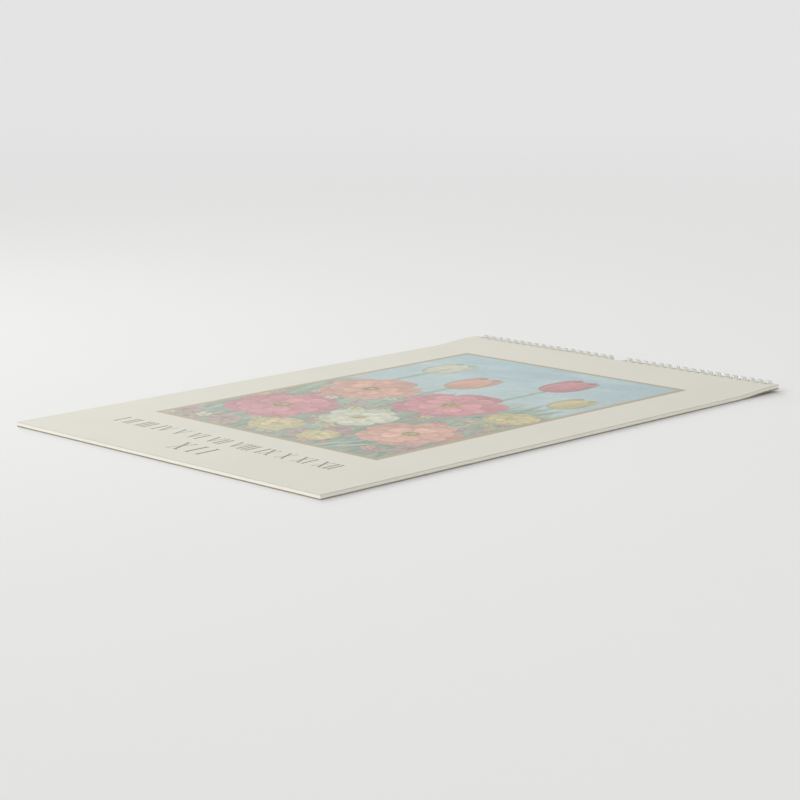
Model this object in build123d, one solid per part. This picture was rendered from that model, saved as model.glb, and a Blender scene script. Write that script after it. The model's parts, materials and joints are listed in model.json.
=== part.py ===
"""Wall calendar lying flat: back board, page block and front cover, held by two strips of twin-loop wire
and a wire hanger. The printed cover picture is made of thin fields of colour.

Frame: +Z up out of the cover, +Y towards the binding, X along the bound edge. The origin is at the middle
of the overall box, on the surface that the calendar lies on. All sizes are in millimetres.
"""

from build123d import *
from math import asin, cos, degrees, pi, radians, sin, sqrt
import os

# Sheets
sheet_width = 330.2
sheet_height = 508.0
board_thickness = 0.85
pages_thickness = 2.2
cover_thickness = 0.35
sheet_play = 0.15

# Twin-loop wire, three loops to the inch
wire_diameter = 0.9
ring_outer_radius = 3.95
loop_pitch = 25.4 / 3
first_loop_x = 1.25 * loop_pitch
loop_leg_spacing = 2.4
ring_facets = 10
wire_facets = 6
seam_angle = 225.0
seam_gap_angle = 20.0

# Punched holes and the cut for the hanger
hole_size = 4.0
edge_to_axis = 0.1
hole_margin = 2.0
thumb_cut_radius = 7.0

# The bound edge is lifted onto the rings by a gentle bend
binding_land = 8.0
bend_length = 50.0

# Hanger
hanger_diameter = 0.9
hanger_length = 190.0
hanger_ring_play = 0.1
hook_width = 9.4
hook_reach = 9.6
hook_bend_radius = 1.2
hook_floor_gap = 0.05

# Printed cover
ink_thickness = 0.04
picture_width = 235.0
picture_height = 345.0
picture_top_margin = 64.0
frame_line_width = 2.4
stem_width = 3.2

# The hills' line from right to left, as shares of the picture's width and height
hill_line_shares = [(1.0, 0.487), (0.66, 0.533), (0.3, 0.435), (0.0, 0.499)]

# Blooms: centre as shares of the picture's width and height, radius as a share of the bloom unit
open_blooms = {
    "rose": [(0.609, 0.499, 0.979), (0.2, 0.2435, 0.979)],
    "coral": [(0.221, 0.51, 0.894), (0.8255, 0.2203, 0.851)],
    "cream": [(0.5277, 0.2667, 0.66)],
    "yellow": [(0.902, 0.481, 0.468), (0.409, 0.096, 0.468), (0.63, 0.078, 0.362)],
}
tulips = {
    "rose": [(0.681, 0.846, 0.574)],
    "coral": [(0.409, 0.719, 0.553)],
    "cream": [(0.162, 0.817, 0.532)],
    "yellow": [(0.885, 0.696, 0.468)],
}
petals_per_bloom = 5

# Places worked out from the sizes above
wire_radius = wire_diameter / 2
ring_radius = ring_outer_radius - wire_radius
stack_thickness = board_thickness + pages_thickness + cover_thickness + 2 * sheet_play
bend_rise = ring_outer_radius - stack_thickness / 2
hanger_radius = hanger_diameter / 2
hanger_drop = ring_radius * cos(pi / ring_facets / 2) - wire_radius - hanger_ring_play - hanger_radius
hanger_z = ring_outer_radius - hanger_drop
hook_droop = asin((hanger_z - hanger_radius - hook_floor_gap) / (hook_reach - hanger_radius))
hook_tip = (hook_reach - hanger_radius) * cos(hook_droop) + hanger_radius
overall_height = sheet_height + edge_to_axis + hook_tip
axis_y = overall_height / 2 - hook_tip
sheet_top = axis_y - edge_to_axis
sheet_bottom = sheet_top - sheet_height
board_z = 0.0
pages_z = board_z + board_thickness + sheet_play
cover_z = pages_z + pages_thickness + sheet_play
cover_top_z = cover_z + cover_thickness
loops_per_strip = int((sheet_width / 2 - hole_size - first_loop_x) / loop_pitch) + 1
loop_places = [first_loop_x + i * loop_pitch for i in range(loops_per_strip)]
bloom_unit = min(picture_width / 5, picture_height / 7.34)


def bent_outline(low):
    """The line of one face of a sheet, seen from the side, from its foot up to the bound edge."""
    bend_end = sheet_top - binding_land
    bend_start = bend_end - bend_length
    middle = (bend_start + bend_length / 2, low + bend_rise / 2)
    return [
        Line((sheet_bottom, low), (bend_start, low)),
        TangentArc((bend_start, low), middle, tangent=(1, 0)),
        TangentArc((bend_end, low + bend_rise), middle, tangent=(-1, 0)),
        Line((bend_end, low + bend_rise), (sheet_top, low + bend_rise)),
    ]


def sheet(low, thickness):
    """A sheet or block of sheets with its bend, punched holes and thumb cut."""
    high = low + thickness
    foot = Line((sheet_bottom, low), (sheet_bottom, high))
    edge = Line((sheet_top, low + bend_rise), (sheet_top, high + bend_rise))
    outline = make_face([foot, edge] + bent_outline(low) + bent_outline(high))
    body = extrude(Plane.YZ * outline, amount=sheet_width / 2, both=True)
    hole_y = sheet_top - hole_margin - hole_size / 2
    cutter_height = 4 * (high + bend_rise)
    punch = Box(hole_size, hole_size, cutter_height)
    holes = [Pos(side * x, hole_y, 0) * punch for side in (-1, 1) for x in loop_places]
    thumb_cut = Pos(0, sheet_top, 0) * Cylinder(thumb_cut_radius, cutter_height)
    return body - holes - thumb_cut


def ring_points(x):
    """Centre line of one leg of a loop, from the spine up through the holes and round to the tip."""
    turn = 360.0 - seam_gap_angle
    points = []
    for i in range(ring_facets + 1):
        angle = radians(seam_angle - turn * i / ring_facets)
        points.append((x, axis_y + ring_radius * cos(angle), ring_outer_radius + ring_radius * sin(angle)))
    return points


def wire_strip(side):
    """One strip of twin-loop wire: a single wire that runs round every loop and along the spine."""
    route = []
    half_leg = loop_leg_spacing / 2
    for x in loop_places:
        route += ring_points(x - half_leg)
        route += reversed(ring_points(x + half_leg))
    start = Vector(*route[0])
    stub = Vector(-hole_size / 2, 0, 0)
    points = [start + stub] + [Vector(*p) for p in route] + [Vector(*route[-1]) - stub]
    path = Wire([Edge.make_line(a, b) for a, b in zip(points, points[1:])])
    section = Plane(points[0], z_dir=(1, 0, 0)) * RegularPolygon(wire_radius, wire_facets)
    strip = sweep(section, path=path, transition=Transition.RIGHT)
    return strip if side > 0 else mirror(strip, Plane.YZ)


def hanger():
    """A straight wire that lies inside the loops, with a round-topped hook bent up in its middle."""
    leg_x = hook_width / 2 - hanger_radius
    end_x = hanger_length / 2
    tip_radius = leg_x
    shoulder = hook_reach - hanger_radius - tip_radius
    bend = hook_bend_radius
    left = [
        Line((-end_x, 0), (-leg_x - bend, 0)),
        TangentArc((-leg_x - bend, 0), (-leg_x, bend), tangent=(1, 0)),
        Line((-leg_x, bend), (-leg_x, shoulder)),
    ]
    tip = ThreePointArc((-leg_x, shoulder), (0, shoulder + tip_radius), (leg_x, shoulder))
    right = [
        Line((leg_x, shoulder), (leg_x, bend)),
        TangentArc((leg_x + bend, 0), (leg_x, bend), tangent=(-1, 0)),
        Line((leg_x + bend, 0), (end_x, 0)),
    ]
    path = Wire(left + [tip] + right)
    section = Plane((-end_x, 0, 0), z_dir=(1, 0, 0)) * RegularPolygon(hanger_radius, wire_facets)
    flat = sweep(section, path=path)
    return Pos(0, axis_y, hanger_z) * Rot(-degrees(hook_droop), 0, 0) * flat


def polygon(points):
    """A flat face through the given points, which need no closing point."""
    return make_face(Polyline(*points, close=True))


def open_bloom(u, v, radius):
    """An open blossom with blunt petals, seen from the front."""
    step = 2 * pi / petals_per_bloom
    points = []
    for i in range(petals_per_bloom):
        middle = pi / 2 + i * step
        for turn, reach in ((-0.5, 0.55), (-0.24, 1.0), (0.24, 1.0)):
            angle = middle + turn * step
            points.append((u + reach * radius * cos(angle), v + reach * radius * sin(angle)))
    return polygon(points)


def tulip(u, v, radius):
    """A closed cup of three pointed petals, seen from the side."""
    half = [(0.0, -1.0), (0.55, -0.85), (0.82, -0.2), (0.78, 0.95), (0.42, 0.5)]
    right = [(u + radius * a, v + radius * b) for a, b in half]
    left = [(u - radius * a, v + radius * b) for a, b in reversed(half[1:])]
    return polygon(right + [(u, v + 1.15 * radius)] + left)


def leaf(foot_u, foot_v, tip_u, tip_v, width):
    """A long leaf, pointed at both ends."""
    run_u = tip_u - foot_u
    run_v = tip_v - foot_v
    length = sqrt(run_u**2 + run_v**2)
    side_u = -run_v / length * width / 2
    side_v = run_u / length * width / 2
    middle = (foot_u + 0.45 * run_u, foot_v + 0.45 * run_v)
    return polygon(
        [
            (foot_u, foot_v),
            (middle[0] - side_u, middle[1] - side_v),
            (tip_u, tip_v),
            (middle[0] + side_u, middle[1] + side_v),
        ]
    )


def placed(blooms):
    """Centres and radii in the picture's plane, from blooms given as shares."""
    return [(u * picture_width, v * picture_height, radius * bloom_unit) for u, v, radius in blooms]


def foliage():
    """A stem down from each tulip, and a long leaf that leans out from it."""
    shapes = []
    for flowers in tulips.values():
        for u, v, radius in placed(flowers):
            shapes.append(Pos(u, (v - radius) / 2) * Rectangle(stem_width, v - radius))
            shapes.append(leaf(u, 0.2 * v, u - 1.2 * radius, 0.72 * v, 0.6 * radius))
    return shapes


def print_fields():
    """The fields of colour as (name, layer, shape): sky and meadow lowest, then leaves, then blooms."""
    picture = Pos(picture_width / 2, picture_height / 2) * Rectangle(picture_width, picture_height)
    ground_line = [(0.0, 0.0), (1.0, 0.0)] + hill_line_shares
    meadow = polygon([(u * picture_width, v * picture_height) for u, v in ground_line])
    outside = Rectangle(picture_width + 2 * frame_line_width, picture_height + 2 * frame_line_width)
    fields = [
        ("frame_line", 0, Pos(picture_width / 2, picture_height / 2) * outside - picture),
        ("sky", 0, picture - meadow),
        ("meadow", 0, meadow),
        ("leaf", 1, Sketch() + foliage()),
    ]
    for ink in open_blooms:
        blooms = [open_bloom(*place) for place in placed(open_blooms[ink])]
        blooms += [tulip(*place) for place in placed(tulips[ink])]
        fields.append((ink, 2, Sketch() + blooms))
    return fields


def printed(layer, field):
    """A field of ink on the flat of the cover, above the layers that it is printed over."""
    corner_y = sheet_top - picture_top_margin - picture_height
    low = cover_top_z + layer * ink_thickness
    return Pos(-picture_width / 2, corner_y, low) * extrude(field, amount=ink_thickness)


parts = {
    "back_board": sheet(board_z, board_thickness),
    "page_block": sheet(pages_z, pages_thickness),
    "front_cover": sheet(cover_z, cover_thickness),
    "binding_wire_left": wire_strip(-1),
    "binding_wire_right": wire_strip(1),
    "hanger": hanger(),
}
for ink, layer, field in print_fields():
    parts["print_" + ink] = printed(layer, field)

os.makedirs("parts", exist_ok=True)
for name, part in parts.items():
    solids = part.solids()
    export_step(solids[0] if len(solids) == 1 else Compound(children=solids), f"parts/{name}.step")

print("loops in each strip", loops_per_strip)
print("ring axis y", round(axis_y, 3), "z", ring_outer_radius, "sheet top", round(sheet_top, 3))
print("sheet bottom", round(sheet_bottom, 3), "hanger axis z", round(hanger_z, 3))
print("hook droop", round(degrees(hook_droop), 2), "hook tip y", round(axis_y + hook_tip, 3))
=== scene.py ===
"""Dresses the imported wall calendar: punched sheets, twin-loop wire, hanger, printed cover and stage.

All places are in metres in the calendar's own frame: +Z up out of the cover, +Y towards the binding.
"""

import json
from math import atan2, cos, pi, radians, sin, sqrt

import bmesh
import bpy
import numpy as np
from bpy.props import FloatProperty, FloatVectorProperty, IntProperty, PointerProperty
from mathutils import Matrix, Vector


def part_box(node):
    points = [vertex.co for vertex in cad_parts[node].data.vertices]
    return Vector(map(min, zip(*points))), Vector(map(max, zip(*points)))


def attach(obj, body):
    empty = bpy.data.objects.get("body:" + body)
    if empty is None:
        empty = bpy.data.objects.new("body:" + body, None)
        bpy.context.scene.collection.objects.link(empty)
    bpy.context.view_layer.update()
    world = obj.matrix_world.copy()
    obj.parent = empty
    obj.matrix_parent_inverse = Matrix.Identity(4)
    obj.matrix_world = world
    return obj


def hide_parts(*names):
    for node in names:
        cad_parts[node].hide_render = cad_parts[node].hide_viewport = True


bl_info = {
    "name": "Wall Calendar",
    "version": (1, 0, 0),
    "blender": (4, 5, 0),
    "location": "3D View > Sidebar > Calendar",
    "description": "Builds the sheets, wire, hanger and print of a wire-bound wall calendar",
    "category": "Object",
}

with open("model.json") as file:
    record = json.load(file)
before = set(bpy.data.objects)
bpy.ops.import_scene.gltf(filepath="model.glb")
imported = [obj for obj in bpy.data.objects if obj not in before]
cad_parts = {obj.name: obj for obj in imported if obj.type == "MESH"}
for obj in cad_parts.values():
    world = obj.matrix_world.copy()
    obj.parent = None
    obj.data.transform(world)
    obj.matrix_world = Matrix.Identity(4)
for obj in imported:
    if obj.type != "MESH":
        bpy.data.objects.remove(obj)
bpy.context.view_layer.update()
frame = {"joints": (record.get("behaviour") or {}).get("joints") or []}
MM = 0.001
INCH = 25.4 * MM

# The standard curve between linear light and display values
CURVE_KNEE = 0.0031308
CURVE_SLOPE = 12.92
CURVE_OFFSET = 0.055
CURVE_POWER = 2.4

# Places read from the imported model
BOARD_LOW, BOARD_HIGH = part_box("back_board")
PAGES_LOW, PAGES_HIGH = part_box("page_block")
COVER_LOW, COVER_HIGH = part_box("front_cover")
PICTURE_LOW, PICTURE_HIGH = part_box("print_sky")
MEADOW_LOW, MEADOW_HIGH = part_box("print_meadow")
FRAME_LOW, FRAME_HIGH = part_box("print_frame_line")
HANGER_LOW, HANGER_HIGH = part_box("hanger")
JOINTS = {joint["name"]: joint for joint in frame["joints"]}
RING_AXIS = Vector(JOINTS["pages_turn"]["pos_m"])
HANGER_AXIS = Vector(JOINTS["hanger_swing"]["pos_m"])
SHEET_TOP = COVER_HIGH.y
COVER_TOP = PICTURE_LOW.z
RISE = COVER_HIGH.z - COVER_TOP
HILLS_TOP = (MEADOW_HIGH.y - MEADOW_LOW.y) / (PICTURE_HIGH.y - MEADOW_LOW.y)


def linear(values):
    """Display values from 0 to 1 as linear light."""
    return np.where(
        values <= CURVE_KNEE * CURVE_SLOPE,
        values / CURVE_SLOPE,
        ((values + CURVE_OFFSET) / (1 + CURVE_OFFSET)) ** CURVE_POWER,
    )


def display(shade):
    """A linear colour as display values from 0 to 1, in which the pictures are painted."""
    values = np.asarray(shade, float)
    return np.where(
        values <= CURVE_KNEE,
        values * CURVE_SLOPE,
        (1 + CURVE_OFFSET) * values ** (1 / CURVE_POWER) - CURVE_OFFSET,
    )


def length(value, name, description, least=0.0):
    """A property that holds a length in metres."""
    return FloatProperty(name=name, description=description, default=value, min=least, unit="LENGTH")


def colour(value, name, description):
    """A property that holds a colour, given by its display values from 0 to 255."""
    return FloatVectorProperty(
        name=name, description=description, default=linear(np.array(value) / 255).tolist(),
        size=3, min=0.0, max=1.0, subtype="COLOR",
    )


def degrees(value, name, description):
    """A property that holds an angle, given in degrees."""
    return FloatProperty(name=name, description=description, default=radians(value), subtype="ANGLE")


def power(value, name, description):
    """A property that holds how strong a light is."""
    return FloatProperty(name=name, description=description, default=value, min=0.0)


def count(value, name, description):
    """A property that holds a number of pieces."""
    return IntProperty(name=name, description=description, default=value, min=1)


class CalendarSheets(bpy.types.PropertyGroup):
    """Sizes and colours of the board, the leaves and the cover."""

    leaves: count(13, "Leaves", "Leaves between the board and the cover")
    binding_land: length(8 * MM, "Binding land", "Flat strip of each sheet along the bound edge")
    bend_length: length(50 * MM, "Bend length", "Length over which a sheet rises to the loops")
    hole_size: length(4 * MM, "Hole size", "Side of each punched square hole")
    hole_margin: length(2 * MM, "Hole margin", "Paper left between a hole and the bound edge")
    thumb_cut: length(7 * MM, "Thumb cut radius", "Radius of the cut that clears the hanger's hook")
    leaf_gap: length(0.02 * MM, "Leaf gap", "Air between two leaves")
    leaf_drift: length(0.22 * MM, "Leaf drift", "How far a leaf's edge may lie inside the block's edge")
    cover_colour: colour((207, 205, 192), "Cover colour", "Cream of the cover card")
    page_colour: colour((238, 235, 225), "Page colour", "White of the leaves")
    board_colour: colour((155, 147, 136), "Board colour", "Grey brown of the back board")


class CalendarWire(bpy.types.PropertyGroup):
    """Sizes and colours of the loops and the hanger."""

    thickness: length(0.9 * MM, "Wire thickness", "Diameter of the binding wire")
    pitch: length(INCH / 3, "Pitch", "Distance from one loop to the next")
    middle_gap: length(2.5 * INCH / 3, "Middle gap", "Distance between the loops beside the hook")
    stub: length(2 * MM, "Stub", "Length of each end of a strip past its last loop")
    leg_spacing: length(2.4 * MM, "Leg spacing", "Distance between the two wires of a loop")
    loops: count(18, "Loops", "Loops in each strip of wire")
    seam_angle: degrees(225, "Seam angle", "Where the spine runs, about the loops' middle")
    seam_gap: degrees(20, "Seam gap", "Angle between the spine and the loops' tips")
    hook_width: length(9.4 * MM, "Hook width", "Outer width of the hanger's hook")
    hook_reach: length(9.6 * MM, "Hook reach", "How far the hook stands out from the hanger's wire")
    hook_bend: length(1.2 * MM, "Hook bend", "Radius of the bends at the foot of the hook")
    wire_colour: colour((224, 224, 219), "Wire colour", "White coat of the wire")


class CalendarPrint(bpy.types.PropertyGroup):
    """Inks of the cover picture and the lettering."""

    cell: length(1.0 * MM, "Cell", "Distance between the points that hold the picture's colours")
    film: length(0.02 * MM, "Ink film", "How far the ink stands on the paper")
    months_height: length(16 * MM, "Months height", "Height of the months' numbers")
    months_width: length(236 * MM, "Months width", "Width of the line of months")
    months_foot: length(54 * MM, "Months foot", "Height of that line over the cover's foot")
    months_middle: length(-0.5 * MM, "Months middle", "Where the lines of numbers are centred", least=-1.0)
    count_height: length(21 * MM, "Count height", "Height of the lower number")
    count_width: length(38 * MM, "Count width", "Width of the lower number")
    count_foot: length(22 * MM, "Count foot", "Height of the lower number over the cover's foot")
    grid_width: length(280 * MM, "Grid width", "Width of the first page's days")
    grid_height: length(200 * MM, "Grid height", "Height of the first page's days")
    grid_foot: length(32 * MM, "Grid foot", "Margin under the first page's days")
    band_height: length(12 * MM, "Band height", "Height of the tinted band over the days")
    day_height: length(6 * MM, "Day height", "Height of the days' numbers")
    sky_high: colour((158, 180, 185), "High sky", "Blue at the top of the picture")
    sky_low: colour((172, 185, 182), "Low sky", "Pale sky over the hills")
    hills: colour((154, 170, 161), "Hills", "Blue green of the far hills")
    meadow: colour((146, 157, 143), "Meadow", "Green of the near ground")
    leaf: colour((130, 147, 129), "Leaf", "Green of stems and leaves")
    rose: colour((168, 120, 122), "Rose", "Red of the rose blooms")
    coral: colour((178, 140, 124), "Coral", "Orange of the coral blooms")
    cream: colour((173, 174, 154), "Cream", "White of the cream blooms")
    yellow: colour((170, 161, 122), "Yellow", "Yellow of the small blooms")
    heart: colour((155, 134, 84), "Heart", "Brown yellow in the middle of a bloom")
    frame_line: colour((162, 148, 120), "Frame line", "Tan line round the picture")
    letters: colour((101, 99, 86), "Letters", "Warm grey of the lettering")


class CalendarStage(bpy.types.PropertyGroup):
    """Floor and lamps."""

    floor_colour: colour((232, 232, 231), "Floor colour", "Pale floor round the calendar")
    # Painted light: the floor's colour far back, paler than near the calendar to stand in for brighter
    # light there; the camera sees it beyond the floor too
    far_painted_light: colour((238, 238, 238), "Far colour", "The same floor where it runs back out of view")
    key_strength: power(1.15, "Key strength", "Strength of the main lamp")
    back_strength: power(1.7, "Back strength", "Strength of the low lamp behind")
    fill_strength: power(1.05, "Fill strength", "Strength of the low lamp on the right")
    side_power: power(2.5, "Side power", "Power of the near lamp on the left, in watts")
    surround: power(0.48, "Surround", "Strength of the even light")


GROUPS = {
    "calendar_sheets": CalendarSheets,
    "calendar_wire": CalendarWire,
    "calendar_print": CalendarPrint,
    "calendar_stage": CalendarStage,
}

# Blooms of the cover picture: centre as shares of its width and height, radius as a share of the bloom unit
OPEN_BLOOMS = {
    "rose": [(0.609, 0.499, 0.979), (0.2, 0.2435, 0.979)],
    "coral": [(0.221, 0.51, 0.894), (0.8255, 0.2203, 0.851)],
    "cream": [(0.5277, 0.2667, 0.66)],
    "yellow": [(0.902, 0.481, 0.468), (0.409, 0.096, 0.468), (0.63, 0.078, 0.362)],
}
TULIPS = {
    "rose": [(0.681, 0.846, 0.574)],
    "coral": [(0.409, 0.719, 0.553)],
    "cream": [(0.162, 0.817, 0.532)],
    "yellow": [(0.885, 0.696, 0.468)],
}
PETALS = 5
MONTHS = 12
CAP_SHARE = 0.7  # height of a capital as a share of the built-in letters' size
INK_LAYER = "ink"  # name of the colours held at a mesh's points
PAPER_STRETCH = (1.0, 0.45, 1.0)  # how paper's fibres lie along the sheet
PAPER_WHITE = (1.0, 1.0, 0.96, 1.0)
WHITE = (1.0, 1.0, 1.0, 1.0)
BLACK = (0.0, 0.0, 0.0, 1.0)
WIRE_SMOOTH = radians(60)


class Value:
    """A shader value: arithmetic on it adds Math nodes."""

    def __init__(self, shader, socket):
        self.shader = shader
        self.socket = socket

    def math(self, operation, other):
        return self.shader.add("ShaderNodeMath", {"operation": operation}, {0: self, 1: other})

    def __add__(self, other):
        return self.math("ADD", other)

    def __mul__(self, other):
        return self.math("MULTIPLY", other)

    def __gt__(self, other):
        return self.math("GREATER_THAN", other)

    __radd__ = __add__
    __rmul__ = __mul__


class Shader:
    """A tree of nodes, and the one way in which nodes are added to it."""

    # The Mix node's sockets for colours: three inputs, and the result
    mix_share = 0
    mix_first = 6
    mix_second = 7
    mix_result = 2

    def __init__(self, tree):
        self.tree = tree

    def add(self, kind, settings=None, sockets=None, output=0):
        """A node of that kind, with its settings set first and then its sockets' values or links."""
        node = self.tree.nodes.new(kind)
        for name, value in (settings or {}).items():
            setattr(node, name, value)
        for name, value in (sockets or {}).items():
            self.feed(node.inputs[name], value)
        return Value(self, node.outputs[output])

    def feed(self, socket, value):
        if isinstance(value, Value):
            self.tree.links.new(value.socket, socket)
        else:
            socket.default_value = value

    def place(self):
        """Where a point of the piece lies in the calendar's frame."""
        return self.add("ShaderNodeTexCoord", output="Object")

    def noise(self, size, detail=2.0, roughness=0.5, stretch=(1.0, 1.0, 1.0)):
        """Soft patches of about that size in metres, from 0 to 1."""
        scaled = self.add("ShaderNodeVectorMath", {"operation": "MULTIPLY"}, {0: self.place(), 1: stretch})
        sockets = {"Vector": scaled, "Scale": 1 / size, "Detail": detail, "Roughness": roughness}
        return self.add("ShaderNodeTexNoise", {}, sockets)

    def blend(self, first, second, share):
        """Two colours mixed by a share from 0 to 1."""
        sockets = {self.mix_share: share, self.mix_first: first, self.mix_second: second}
        return self.add("ShaderNodeMix", {"data_type": "RGBA"}, sockets, self.mix_result)

    def tones(self, shade, darkest, palest, share):
        """A colour between its darkest and its palest tone, by a share from 0 to 1."""
        return self.blend(opaque(shade, darkest), opaque(shade, palest), share)

    def flecks(self, base, fleck, grain, above, weight):
        """A base with flecks of another colour where the grain is above a level."""
        return self.blend(base, fleck, (grain > above) * weight)

    def bump(self, height, distance, strength):
        """The surface's normal, raised by height over that distance in metres."""
        sockets = {"Height": height, "Distance": distance, "Strength": strength}
        return self.add("ShaderNodeBump", {}, sockets)


class Surface(Shader):
    """A new material: constants are set on its surface at once, and links when it is finished."""

    def __init__(self, name, **constants):
        self.material = bpy.data.materials.new(name)
        self.material.use_nodes = True
        super().__init__(self.material.node_tree)
        self.surface = self.tree.nodes["Principled BSDF"]
        self.finish(**constants)

    def finish(self, **links):
        for socket, value in links.items():
            self.feed(self.surface.inputs[socket.replace("_", " ")], value)
        return self.material


def opaque(shade, share=1.0):
    """A linear colour times a share, with full alpha."""
    return tuple(min(channel * share, 1.0) for channel in shade) + (1.0,)


def paper_material(name, shade, fibre, depth):
    """Matt paper or card: faint cloudy tone, short fibres and a fine tooth."""
    shader = Surface(name, Specular_IOR_Level=0.3)
    cloud = shader.noise(60 * MM, detail=3.0)
    strands = shader.noise(fibre, detail=4.0, roughness=0.65, stretch=PAPER_STRETCH)
    specks = shader.noise(0.9 * MM, detail=1.0)
    tone = shader.tones(shade, 0.965, 1.03, cloud)
    fibred = shader.flecks(tone, opaque(shade, 0.9), specks, above=0.72, weight=0.25)
    normal = shader.bump(strands, depth, strength=0.6)
    return shader.finish(Base_Color=fibred, Roughness=0.72 + 0.16 * strands, Normal=normal)


def board_material(name, shade):
    """Grey board pressed from waste paper: mottled, with dark and pale flecks."""
    shader = Surface(name, Specular_IOR_Level=0.2)
    mottle = shader.noise(7 * MM, detail=5.0, roughness=0.6)
    fibres = shader.noise(0.7 * MM, detail=4.0, roughness=0.7, stretch=(1.0, 0.3, 1.0))
    dark = shader.noise(1.6 * MM)
    pale = shader.noise(1.1 * MM, stretch=(1.0, 0.4, 1.3))
    tone = shader.tones(shade, 0.86, 1.14, mottle)
    tone = shader.flecks(tone, opaque(shade, 0.55), dark, above=0.66, weight=0.35)
    tone = shader.flecks(tone, opaque(shade, 1.45), pale, above=0.68, weight=0.3)
    normal = shader.bump(fibres + mottle * 0.5, 0.05 * MM, strength=0.7)
    return shader.finish(Base_Color=tone, Roughness=0.84 + 0.1 * fibres, Normal=normal)


def wire_material(name, shade):
    """Steel wire in a satin white coat, a little duller in soft patches."""
    shader = Surface(name, Specular_IOR_Level=0.5, Coat_Roughness=0.3)
    drift = shader.noise(6 * MM, detail=3.0)
    grain = shader.noise(0.35 * MM)
    tone = shader.tones(shade, 0.93, 1.03, drift)
    coat = 0.15 + 0.1 * grain
    normal = shader.bump(grain, 0.01 * MM, strength=0.4)
    return shader.finish(Base_Color=tone, Roughness=0.3 + 0.16 * drift, Coat_Weight=coat, Normal=normal)


def printed_material(name, shade=None):
    """Matt ink in the card, in one shade or else in the colours held at the mesh's points."""
    shader = Surface(name, Specular_IOR_Level=0.3)
    if shade is None:
        base = shader.add("ShaderNodeVertexColor", {"layer_name": INK_LAYER})
    else:
        base = opaque(shade)
    strands = shader.noise(0.5 * MM, detail=4.0, roughness=0.65, stretch=PAPER_STRETCH)
    mottle = shader.noise(5 * MM, detail=3.0)
    lighter = shader.blend(base, PAPER_WHITE, strands * 0.1)
    toned = shader.blend(lighter, BLACK, mottle * 0.05)
    normal = shader.bump(strands, 0.02 * MM, strength=0.5)
    return shader.finish(Base_Color=toned, Roughness=0.62 + 0.16 * strands, Normal=normal)


def link(name, data):
    """A new object with that data, in the scene."""
    made = bpy.data.objects.new(name, data)
    bpy.context.scene.collection.objects.link(made)
    return made


def make_piece(name, points, faces, material, smooth=None):
    """A mesh piece from points and faces, shaded smooth where its faces meet at less than an angle."""
    mesh = bpy.data.meshes.new(name)
    mesh.from_pydata(points, [], faces)
    mesh.update()
    if smooth is not None:
        mesh.shade_smooth()
        mesh.set_sharp_from_angle(angle=smooth)
    mesh.materials.append(material)
    return link(name, mesh)


def hand_over(piece, body, nodes=()):
    """Lets a piece ride with its body and stand for its nodes."""
    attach(piece, body)
    if nodes:
        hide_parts(*nodes)


def loop_places(wire):
    """Where the loops stand along one half of the bound edge, outwards from the hanger's gap."""
    first = wire.middle_gap / 2
    return [first + i * wire.pitch for i in range(wire.loops)]


class PunchedSheet:
    """One sheet, or a board, with its bend, holes and thumb cut, as a closed mesh."""

    flat_steps = 4
    bend_steps = 20
    cut_steps = 14
    rows_from_hole = 3  # the hole's low side, its high side and the edge
    smooth_angle = radians(30)

    def __init__(self, sheets, wire, low, high, left, right, foot):
        self.sheets = sheets
        self.holes = loop_places(wire)
        self.surfaces = (low, high)
        self.land = SHEET_TOP - sheets.binding_land
        self.bend = self.land - sheets.bend_length
        self.xs = self.columns(left, right)
        self.ys = self.rows(foot)
        self.hole_row = len(self.ys) - self.rows_from_hole

    def columns(self, left, right):
        half = self.sheets.hole_size / 2
        places = [left, right]
        for x in self.holes:
            places += [x - half, x + half, -x - half, -x + half]
        radius = self.sheets.thumb_cut
        places += [-radius * cos(pi * i / self.cut_steps) for i in range(self.cut_steps + 1)]
        return sorted(places)

    def rows(self, foot):
        hole_high = SHEET_TOP - self.sheets.hole_margin
        flat = [foot + (self.bend - foot) * i / self.flat_steps for i in range(self.flat_steps)]
        step = self.sheets.bend_length / self.bend_steps
        bent = [self.bend + step * i for i in range(self.bend_steps + 1)]
        return flat + bent + [hole_high - self.sheets.hole_size, hole_high, SHEET_TOP]

    def lift(self, y):
        """How far the sheet has risen at y: an arc up, then an arc back to level."""
        share = min(max((y - self.bend) / self.sheets.bend_length, 0.0), 1.0)
        if share < 0.5:
            return RISE * 2 * share**2
        return RISE * (1 - 2 * (1 - share) ** 2)

    def point(self, i, j, surface):
        x = self.xs[i]
        y = self.ys[j]
        depth = self.sheets.thumb_cut**2 - x**2
        if y > self.land and depth > 0:
            cut_edge = SHEET_TOP - sqrt(depth)
            y = self.land + (y - self.land) * (cut_edge - self.land) / (SHEET_TOP - self.land)
        return (x, y, surface + self.lift(y))

    def is_hole(self, i, j):
        middle = abs((self.xs[i] + self.xs[i + 1]) / 2)
        half = self.sheets.hole_size / 2
        return j == self.hole_row and any(abs(middle - x) < half for x in self.holes)

    def build(self, name, material):
        """The piece: its two faces, and a wall beside each cell that has no neighbour."""
        columns = len(self.xs)
        rows = len(self.ys)
        points = []
        for surface in self.surfaces:
            points += [self.point(i, j, surface) for j in range(rows) for i in range(columns)]
        cells = {(i, j) for j in range(rows - 1) for i in range(columns - 1) if not self.is_hole(i, j)}
        over = columns * rows
        faces = []
        for i, j in sorted(cells):
            a = j * columns + i
            b = a + 1
            c = b + columns
            d = a + columns
            faces.append((a, d, c, b))
            faces.append((a + over, b + over, c + over, d + over))
            sides = {(i, j - 1): (a, b), (i + 1, j): (b, c), (i, j + 1): (c, d), (i - 1, j): (d, a)}
            for beside, (p, q) in sides.items():
                if beside not in cells:
                    faces.append((p, q, q + over, p + over))
        return make_piece(name, points, faces, material, self.smooth_angle)


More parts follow.
